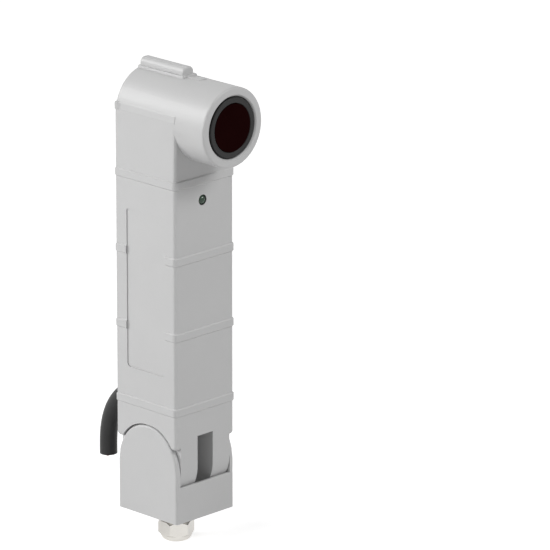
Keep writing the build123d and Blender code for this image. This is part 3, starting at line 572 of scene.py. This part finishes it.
@dataclass
class Casting:
    """A CAD shell whose facets are merged and shaded smooth, so that its curves read as cast.

    Attributes:
        node: The CAD node that the shell stands for.
        name: The piece's name.
        body: The CAD body that carries it.
        slot: Name of a material slot; not used.
    """

    node: str
    name: str
    body: str
    slot: str

    def build(self, palette: Palette) -> bpy.types.Object:
        """Makes the smooth shell in place of its node.

        Args:
            palette: Where the finishes come from.

        Returns:
            The piece that replaces the node.
        """
        shape = bmesh.new()
        shape.from_mesh(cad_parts[self.node].data)
        for layer in list(shape.loops.layers.float_vector.values()):
            shape.loops.layers.float_vector.remove(layer)
        bmesh.ops.remove_doubles(shape, verts=shape.verts, dist=FACET_WELD)
        self.reshape(shape)
        soften_normals(shape)
        material = palette.material(NODE_FINISHES[self.node])
        piece = place_piece(self.name, shape, self.body, material)
        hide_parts(self.node)
        # Wide faces rule the shading at their corners, so no small rounding tilts it across them.
        piece.modifiers.new("area_normals", "WEIGHTED_NORMAL").keep_sharp = True
        return piece

    def reshape(self, shape: bmesh.types.BMesh) -> None:
        """Leaves the casting in its own shape."""


@dataclass
class ForkBase(Casting):
    """The fork under the knuckle, whose cheeks are round above the pivot and upright below it.

    Attributes:
        pivot_z: Height of the pivot's axis.
        half_depth: Half the base's depth along Y.
        drawn_radius: Radius of the CAD cheek's arc.
        drawn_taper_deg: Lean of the CAD cheek's sides below that arc.
        crown_radius: Radius of the photographed cheek at its crown.
        side_radius: Radius of the photographed cheek at its sides.
        sweep_deg: Angles above the level between which one radius runs into the other.
        upright_below_z: Height below which the sides are upright.
        first_cut_z: Height of the lowest level cut.
        cut_pitch: Distance between level cuts.
        cut_count: Number of level cuts.
        crown_share: Least half-width, as a share of the radius.
        edge_share: Share of the half-width beyond which a vertex lies on the cheek's edge.
    """

    pivot_z: float = 30.5 * MM
    half_depth: float = 22.7 * MM
    drawn_radius: float = 21.5 * MM
    drawn_taper_deg: float = 6.4
    crown_radius: float = 21.6 * MM
    side_radius: float = 22.2 * MM
    sweep_deg: tuple[float, float] = (7.2, 32.2)
    upright_below_z: float = 28.0 * MM
    first_cut_z: float = 21.4 * MM
    cut_pitch: float = 1.2 * MM
    cut_count: int = 24
    crown_share: float = 0.2
    edge_share: float = 0.8

    def arc_half_width(self, radius: float, rise: float) -> float:
        """Gives the half-width of an arc about the pivot.

        Args:
            radius: The arc's radius.
            rise: Height above the pivot.

        Returns:
            The half-width along Y, which never falls to nothing.
        """
        return sqrt(max(radius**2 - rise**2, (self.crown_share * radius) ** 2))

    def drawn_half_width(self, z: float) -> float:
        """Gives the half-width of the drawn cheek at a height.

        Args:
            z: Height above the base's underside.

        Returns:
            The half-width along Y.
        """
        rise = z - self.pivot_z
        taper = radians(self.drawn_taper_deg)
        tangent_rise = self.drawn_radius * sin(taper)
        if rise > tangent_rise:
            return self.arc_half_width(self.drawn_radius, rise)
        leaning = self.drawn_radius * cos(taper) + (tangent_rise - rise) * tan(taper)
        return min(self.half_depth, leaning)

    def seen_half_width(self, z: float) -> float:
        """Gives the half-width that the cheek has in the photograph at a height.

        Args:
            z: Height above the base's underside.

        Returns:
            The half-width along Y.
        """
        rise = z - self.pivot_z
        low, high = self.sweep_deg
        low_rise = self.side_radius * sin(radians(low))
        if rise <= low_rise:
            foot = self.upright_below_z - self.pivot_z
            share = min(1.0, max(0.0, (rise - foot) / (low_rise - foot)))
            eased = share * share * (3 - 2 * share)
            widest_arc = self.side_radius * cos(radians(low))
            return self.half_depth + (widest_arc - self.half_depth) * eased
        turn = degrees(asin(min(1.0, rise / self.side_radius)))
        share = min(1.0, (turn - low) / (high - low))
        radius = self.side_radius + (self.crown_radius - self.side_radius) * share
        return self.arc_half_width(radius, rise)

    def reshape(self, shape: bmesh.types.BMesh) -> None:
        """Cuts the cheeks into level bands and brings their edges out to the photographed outline.

        Args:
            shape: The merged base.
        """
        for step in range(self.cut_count):
            level = self.first_cut_z + step * self.cut_pitch
            cut_across(shape, (0.0, 0.0, level), (0.0, 0.0, 1.0))
        for vertex in shape.verts:
            z = vertex.co.z
            drawn = self.drawn_half_width(z)
            in_cheek = z > self.first_cut_z - self.cut_pitch
            if in_cheek and abs(vertex.co.y) > self.edge_share * drawn:
                vertex.co.y *= self.seen_half_width(z) / drawn


@dataclass
class HousingShell(Casting):
    """The column and head, brought to the photographed shape in three places.

    The uppermost band is nearly flush along its sides. The gap under the skirt's arc is a little
    wider on its front half, and the skirt's heel behind reaches a little lower.

    Attributes:
        wall_x: Half the column's width along X.
        head_axis_z: Height of the axis about which the head is round.
        head_band_z: Lowest and highest point of the uppermost band.
        flush_share: How proud that band still stands, as a share of the drawn band.
        proud_from_y: Where the nub at the band's rear end starts.
        ramp: Length over which the band rises into the nub.
        band_reach: Distance from the wall within which a vertex can be the band's.
        pivot_z: Height of the pivot's axis.
        arc_radius: Radius of the skirt's drawn arc.
        arc_relief: How much further out the arc's front half lies.
        full_relief_y: Distance in front of the pivot from which the relief is full.
        arc_tolerance: How near to the arc's radius a vertex on it lies.
        skirt_inner_x: Distance from the middle beyond which a vertex is the skirt's.
        heel_from_y: Where the heel starts behind the pivot.
        heel_z: Lowest and highest point of the rounding under the heel.
        heel_stretch: How much further down the heel reaches, as a share of its rounding.
    """

    wall_x: float = 22.3 * MM
    head_axis_z: float = 225.1 * MM
    head_band_z: tuple[float, float] = (226.2 * MM, 232.1 * MM)
    flush_share: float = 0.15
    proud_from_y: float = 20.4 * MM
    ramp: float = 1.2 * MM
    band_reach: float = 2.0 * MM
    pivot_z: float = 30.5 * MM
    arc_radius: float = 22.35 * MM
    arc_relief: float = 0.7 * MM
    full_relief_y: float = 8.0 * MM
    arc_tolerance: float = 0.02 * MM
    skirt_inner_x: float = 18.6 * MM
    heel_from_y: float = 14.0 * MM
    heel_z: tuple[float, float] = (42.3 * MM, 44.2 * MM)
    heel_stretch: float = 0.47

    def reshape(self, shape: bmesh.types.BMesh) -> None:
        """Eases the skirt's arc, lowers its heel and lowers the uppermost band.

        Args:
            shape: The merged housing.
        """
        self.ease_arc(shape)
        self.lower_heel(shape)
        self.lower_band(shape)

    def on_arc(self, place: Vector) -> bool:
        """Tells whether a place lies on the skirt's drawn arc."""
        return abs(hypot(place.y, place.z - self.pivot_z) - self.arc_radius) < self.arc_tolerance

    def ease_arc(self, shape: bmesh.types.BMesh) -> None:
        """Widens the skirt's arc on its front half.

        Args:
            shape: The merged housing.
        """
        for vertex in shape.verts:
            rise = vertex.co.z - self.pivot_z
            if rise > 0 and vertex.co.y < 0 and self.on_arc(vertex.co):
                share = min(1.0, -vertex.co.y / self.full_relief_y)
                radius = self.arc_radius + self.arc_relief * share
                vertex.co.y = -sqrt(radius**2 - rise**2)

    def lower_heel(self, shape: bmesh.types.BMesh) -> None:
        """Lets the skirt's rear corners down, along the arc where they meet it.

        Args:
            shape: The merged housing.
        """
        low, high = self.heel_z
        for vertex in shape.verts:
            in_skirt = abs(vertex.co.x) > self.skirt_inner_x and vertex.co.y > self.heel_from_y
            if in_skirt and low < vertex.co.z < high:
                meets_arc = self.on_arc(vertex.co)
                vertex.co.z -= (high - vertex.co.z) * self.heel_stretch
                if meets_arc:
                    rise = vertex.co.z - self.pivot_z
                    vertex.co.y = sqrt(self.arc_radius**2 - rise**2)

    def lower_band(self, shape: bmesh.types.BMesh) -> None:
        """Lowers the uppermost band in front of the nub at its rear end.

        Args:
            shape: The merged housing.
        """
        for along in (self.proud_from_y - self.ramp, self.proud_from_y):
            cut_across(shape, (0.0, along, 0.0), (0.0, 1.0, 0.0))
        low, high = self.head_band_z
        flush_to_y = self.proud_from_y - self.ramp / 2
        for vertex in shape.verts:
            rise = max(0.0, vertex.co.z - self.head_axis_z)
            proud = abs(vertex.co.x) - sqrt(max(self.wall_x**2 - rise**2, 0.0))
            in_band = low < vertex.co.z < high and vertex.co.y < flush_to_y
            if in_band and 0 < proud < self.band_reach:
                side = 1 if vertex.co.x > 0 else -1
                vertex.co.x -= proud * (1 - self.flush_share) * side


@dataclass
class LampLens(Casting):
    """The indicator's lens, a little slimmer than its hole, so that a dark gap rings it.

    Attributes:
        axis_x: Place of the lens's axis along X.
        axis_z: Height of the lens's axis.
        lens_from_y: Where the lens starts in front of its base.
        slimming: Radius of the lens, as a share of the drawn one.
        drawn_rim_y: Where the drawn lens's crown starts.
        rim_y: Where its crown starts here, deeper in the hole.
        crown_gain: Height of the crown, as a share of the drawn one.
    """

    axis_x: float = -1.5 * MM
    axis_z: float = 180.9 * MM
    lens_from_y: float = -20.0 * MM
    slimming: float = 0.9
    drawn_rim_y: float = -22.9 * MM
    rim_y: float = -22.2 * MM
    crown_gain: float = 2.0

    def reshape(self, shape: bmesh.types.BMesh) -> None:
        """Slims the lens round its axis, sinks its rim into the hole and rounds its crown.

        Args:
            shape: The merged lamp.
        """
        reach = (self.rim_y - self.lens_from_y) / (self.drawn_rim_y - self.lens_from_y)
        for vertex in shape.verts:
            if vertex.co.y < self.lens_from_y:
                vertex.co.x = self.axis_x + (vertex.co.x - self.axis_x) * self.slimming
                vertex.co.z = self.axis_z + (vertex.co.z - self.axis_z) * self.slimming
                crown = min(0.0, vertex.co.y - self.drawn_rim_y)
                body = vertex.co.y - crown - self.lens_from_y
                vertex.co.y = self.lens_from_y + body * reach + crown * self.crown_gain


@dataclass
class LampHoleShade:
    """The black sleeve that lines the indicator's hole, sunk below the face. Its black is painted
    shade: it stands in for the shade in the hole round the lens.

    Attributes:
        centre: Where the indicator's axis meets the face.
        outer: Outer radius.
        inner: Inner radius.
        sunk: How far the sleeve's front lies below the face.
        depth: Length of the sleeve.
        lip: Width of the chamfers on its front.
        steps: Number of steps round.
    """

    centre: Point = (-1.5 * MM, -22.7 * MM, 180.9 * MM)
    outer: float = 2.98 * MM
    inner: float = 2.42 * MM
    sunk: float = 0.25 * MM
    depth: float = 1.6 * MM
    lip: float = 0.15 * MM
    steps: int = 48

    def build(self, palette: Palette) -> bpy.types.Object:
        """Turns the sleeve about the indicator's axis.

        Args:
            palette: Where the finishes come from.

        Returns:
            The sleeve.
        """
        front, back = self.sunk, self.sunk + self.depth
        profile = [
            (self.inner, back),
            (self.outer, back),
            (self.outer, front + self.lip),
            (self.outer - self.lip, front),
            (self.inner + self.lip, front),
            (self.inner, front + self.lip),
            (self.inner, back),
        ]
        shape = turned(profile, Vector((0.0, 1.0, 0.0)), Vector(self.centre), self.steps)
        # Painted shade: the sleeve is black so that the hole round the lens reads as shaded.
        material = palette.material(BLACK_NYLON)
        return place_piece("lamp_hole_shade", shape, "housing", material)


@dataclass
class CableTail:
    """The black cable that leaves the rear cover and hangs down behind the column.

    Attributes:
        radius: Radius of the sheath.
        fall_mm: Places along its middle line, as Y and Z in millimetres, from the cover down.
        length: Length along its middle line.
        spline_order: Order of the sheath's curve.
        steps_along: Steps between two of those places.
        steps_round: Steps round a quarter of the sheath.
        core_count: Number of cores in its cut end.
        core_circle: Radius of the circle on which they lie.
        core_radius: Radius of a core.
        core_proud: How far a core stands out of the cut.
        strand_radius: Radius of a core's copper.
        strand_proud: How far the copper stands out of the cut.
        core_depth: Length of a modelled core or strand.
        core_steps: Steps round a core.
    """

    radius: float = 4.9 * MM
    fall_mm: tuple[tuple[float, float], ...] = (
        (23.7, 60.9),
        (29.2, 60.9),
        (34.6, 59.5),
        (39.5, 56.8),
        (44.2, 52.7),
        (49.1, 45.7),
        (52.1, 37.6),
        (53.5, 27.6),
        (53.3, 18.2),
    )
    length: float = 59.4 * MM
    spline_order: int = 3
    steps_along: int = 12
    steps_round: int = 10
    core_count: int = 5
    core_circle: float = 2.6 * MM
    core_radius: float = 1.15 * MM
    core_proud: float = 0.5 * MM
    strand_radius: float = 0.6 * MM
    strand_proud: float = 0.8 * MM
    core_depth: float = 2.4 * MM
    core_steps: int = 24

    def route(self) -> list[Vector]:
        """Gives the places along the middle line in metres."""
        return [Vector((0.0, y * MM, z * MM)) for y, z in self.fall_mm]

    def bundle(self, radius: float, proud: float) -> bmesh.types.BMesh:
        """Makes the ends of the cores, or of their strands, in a ring across the cut.

        Args:
            radius: Radius of one of them.
            proud: How far they stand out of the cut.

        Returns:
            Short upright rods.
        """
        shape = bmesh.new()
        end = self.route()[-1]
        for step in range(self.core_count):
            turn = 2 * pi * step / self.core_count
            rod = bmesh.ops.create_cone(
                shape,
                cap_ends=True,
                segments=self.core_steps,
                radius1=radius,
                radius2=radius,
                depth=self.core_depth,
            )
            place = (
                self.core_circle * cos(turn),
                end.y + self.core_circle * sin(turn),
                end.z + self.core_depth / 2 - proud,
            )
            bmesh.ops.translate(shape, verts=rod["verts"], vec=place)
        soften_normals(shape)
        return shape

    def dress_end(self, palette: Palette) -> list[bpy.types.Object]:
        """Shows the cores and their copper strands in the cut end.

        Args:
            palette: Where the finishes come from.

        Returns:
            The pieces that go with the cable.
        """
        ends = (
            ("core_ends", self.core_radius, self.core_proud, CORE_PVC),
            ("strand_ends", self.strand_radius, self.strand_proud, COPPER_STRAND),
        )
        return [
            place_piece(
                name,
                self.bundle(radius, proud),
                "housing",
                palette.material(finish),
            )
            for name, radius, proud, finish in ends
        ]

    def build(self, palette: Palette) -> bpy.types.Object:
        """Lays the sheath along its route and dresses its cut end.

        Args:
            palette: Where the finishes come from.

        Returns:
            The cable's curve.
        """
        route = self.route()
        curve = bpy.data.curves.new("cable_sheath", "CURVE")
        curve.dimensions = "3D"
        curve.bevel_depth = self.radius
        curve.bevel_resolution = self.steps_round
        curve.resolution_u = self.steps_along
        curve.use_fill_caps = True
        spline = curve.splines.new("NURBS")
        spline.points.add(len(route) - 1)
        for point, place in zip(spline.points, route):
            point.co = (*place, 1.0)
        spline.order_u = self.spline_order
        spline.use_endpoint_u = True
        piece = add_object("cable_sheath", curve)
        paint(piece, palette.material(PVC_SHEATH))
        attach(piece, "housing")
        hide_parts("cable_tail")
        self.dress_end(palette)
        log.info("cable_sheath: %d control points", len(route))
        return piece


def seen_or_mirrored(tree: bpy.types.NodeTree) -> bpy.types.NodeSocket:
    """Tells the rays that show a surface from the rays that only light the object.

    Args:
        tree: The material's or world's node tree.

    Returns:
        The socket that is 1 for camera, transmission and glossy rays, and 0 for the others.
    """
    rays = add_node(tree, "ShaderNodeLightPath").outputs
    shown = rays["Is Camera Ray"]
    for other in ("Is Transmission Ray", "Is Glossy Ray"):
        larger = add_node(tree, "ShaderNodeMath", {0: shown, 1: rays[other]}, operation="MAXIMUM")
        shown = larger.outputs["Value"]
    return shown


@dataclass(frozen=True)
class SoftLamp:
    """A square soft lamp.

    Attributes:
        name: The lamp's name.
        place: Where it hangs, in metres.
        side: Length of its side in metres.
        power: Power in watts.
    """

    name: str
    place: Point
    side: float
    power: float

    def hang(self, target: Point) -> None:
        """Hangs the lamp so that it faces the object.

        Args:
            target: The point that it faces.
        """
        data = bpy.data.lights.new(self.name, "AREA")
        data.shape = "SQUARE"
        data.size = self.side
        data.energy = self.power
        lamp = add_object(self.name, data)
        lamp.location = self.place
        aim = Vector(target) - Vector(self.place)
        lamp.rotation_euler = aim.to_track_quat("-Z", "Y").to_euler()
        log.info("%s: %.0f W", self.name, self.power)


@dataclass
class Studio:
    """A white table, a white surround, soft lamps and the photograph's camera.

    Attributes:
        camera_place: Where the camera stands, in metres.
        heading_deg: Direction in which it looks, from +Y towards +X.
        dip_deg: How far it looks down.
        roll_deg: How far it is turned about its own axis.
        focal_mm: Focal length.
        sensor_mm: Width of its sensor.
        clip: Nearest and farthest distance that it sees, in metres.
        table_z: Height of the table's top, just under the gland.
        table_side: Length of the table's side.
        table_hex: Colour of the table as it lights the object.
        table_glow: Light added to the table where it is seen or mirrored, so that it reads white.
        fill_strength: Strength of the surround as a light.
        lamps: The lamps.
        target: The point that the lamps face, in metres.
    """

    camera_place: Point = (-2.12229, -2.15602, 1.08061)
    heading_deg: float = 45.574
    dip_deg: float = 17.39
    roll_deg: float = 0.063
    focal_mm: float = 381.95
    sensor_mm: float = 36.0
    clip: tuple[float, float] = (0.05, 60.0)
    table_z: float = -0.0181
    table_side: float = 12.0
    table_hex: str = "E0E0E0"
    table_glow: float = 0.6
    fill_strength: float = 0.195
    lamps: tuple[SoftLamp, ...] = (
        SoftLamp("rear_lamp", (-1.8, 2.14, 1.5), 1.0, 52.0),
        SoftLamp("side_lamp", (-2.75, 0.15, 1.2), 1.0, 25.3),
        SoftLamp("front_lamp", (1.06, -2.15, 2.05), 1.1, 42.3),
    )
    target: Point = (0.0, 0.0, 0.12)

    def build(self) -> None:
        """Sets up the table, surround, lamps, camera and view transform."""
        self.make_table()
        self.make_surround()
        for lamp in self.lamps:
            lamp.hang(self.target)
        self.make_camera()
        bpy.context.scene.view_settings.view_transform = "Standard"

    def make_table(self) -> None:
        """Makes the white table, on which only the object's soft shadow shows."""
        shape = bmesh.new()
        bmesh.ops.create_grid(shape, x_segments=1, y_segments=1, size=self.table_side / 2)
        bmesh.ops.translate(shape, verts=shape.verts, vec=(0.0, 0.0, self.table_z))
        table = add_mesh_object("table", shape)
        # Matt white board: even and bright, with no gloss of its own.
        material = bpy.data.materials.new("matt_white_board")
        material.use_nodes = True
        tree = material.node_tree
        tree.nodes.clear()
        board = add_node(tree, "ShaderNodeBsdfDiffuse", {"Color": linear(self.table_hex)})
        glow = add_node(
            tree, "ShaderNodeEmission", {"Color": WHITE, "Strength": self.table_glow}
        )
        lit = add_node(
            tree, "ShaderNodeAddShader", {0: board.outputs["BSDF"], 1: glow.outputs["Emission"]}
        )
        shown = add_node(
            tree,
            "ShaderNodeMixShader",
            {"Fac": seen_or_mirrored(tree), 1: board.outputs["BSDF"], 2: lit.outputs["Shader"]},
        )
        add_node(tree, "ShaderNodeOutputMaterial", {"Surface": shown.outputs["Shader"]})
        paint(table, material)

    def make_surround(self) -> None:
        """Makes the surround: white where it is seen or mirrored, softer as a light."""
        world = bpy.data.worlds.new("studio")
        bpy.context.scene.world = world
        world.use_nodes = True
        tree = world.node_tree
        tree.nodes.clear()
        white = add_node(tree, "ShaderNodeBackground", {"Color": WHITE, "Strength": 1.0})
        soft = add_node(
            tree, "ShaderNodeBackground", {"Color": WHITE, "Strength": self.fill_strength}
        )
        both = add_node(
            tree,
            "ShaderNodeMixShader",
            {
                "Fac": seen_or_mirrored(tree),
                1: soft.outputs["Background"],
                2: white.outputs["Background"],
            },
        )
        add_node(tree, "ShaderNodeOutputWorld", {"Surface": both.outputs["Shader"]})

    def make_camera(self) -> None:
        """Sets the camera where the photograph was taken from."""
        data = bpy.data.cameras.new("camera")
        data.lens = self.focal_mm
        data.sensor_width = self.sensor_mm
        data.clip_start, data.clip_end = self.clip
        camera = add_object("camera", data)
        heading, dip = radians(self.heading_deg), radians(self.dip_deg)
        forward = Vector((sin(heading) * cos(dip), cos(heading) * cos(dip), -sin(dip)))
        turn = forward.to_track_quat("-Z", "Y").to_matrix().to_4x4()
        turn @= Matrix.Rotation(radians(self.roll_deg), 4, "Z")
        camera.matrix_world = Matrix.Translation(self.camera_place) @ turn
        bpy.context.scene.camera = camera


def main() -> None:
    """Builds the studio and the pieces in order, and reports each."""
    logging.basicConfig(level=logging.INFO, format="%(name)s: %(message)s")
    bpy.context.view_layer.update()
    palette = Palette()
    Studio().build()
    CableTail().build(palette)
    for name, finish in NODE_FINISHES.items():
        paint(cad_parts[name], palette.material(finish))
    HousingShell("main_housing", "housing_shell", "housing", "housing_paint").build(palette)
    LampLens("indicator_led", "lamp_lens", "housing", "lamp_green").build(palette)
    # A black sleeve in the lamp's hole: painted shade round the lens.
    LampHoleShade().build(palette)
    ForkBase("base_bracket", "fork_base", "base", "base_paint").build(palette)
    Casting("gland_cap_nut", "dome_nut", "base", "nickel").build(palette)


if __name__ == "__main__":
    main()
